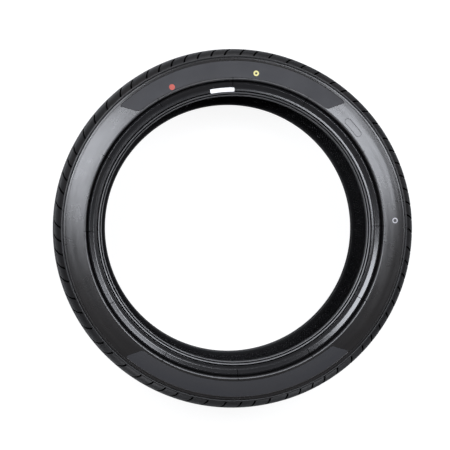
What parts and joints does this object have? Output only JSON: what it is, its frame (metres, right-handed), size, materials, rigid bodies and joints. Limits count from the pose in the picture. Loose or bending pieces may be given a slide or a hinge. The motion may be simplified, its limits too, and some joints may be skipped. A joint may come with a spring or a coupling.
{
  "type": "car tyre",
  "caption": "Low-profile radial car tyre with slotted shoulders, tread grooves, rim-protector ridges and an open bead seat for a wheel rim.",
  "frame": {"origin": "the wheel centre: on the wheel axis, half way between the two sidewalls", "axes": "+Z along the wheel axis, towards the sidewall that carries the paper label; +Y towards the label's side of the rim; the tyre lies on its lower sidewall"},
  "size_m": [0.6369, 0.637, 0.23],
  "materials": {
    "tyre_rubber": "satin moulded rubber",
    "label_paper": "matt coated paper"
  },
  "bodies": {
    "root": {"tyre": "tyre_rubber", "bead_label": "label_paper"}
  },
  "joints": []
}
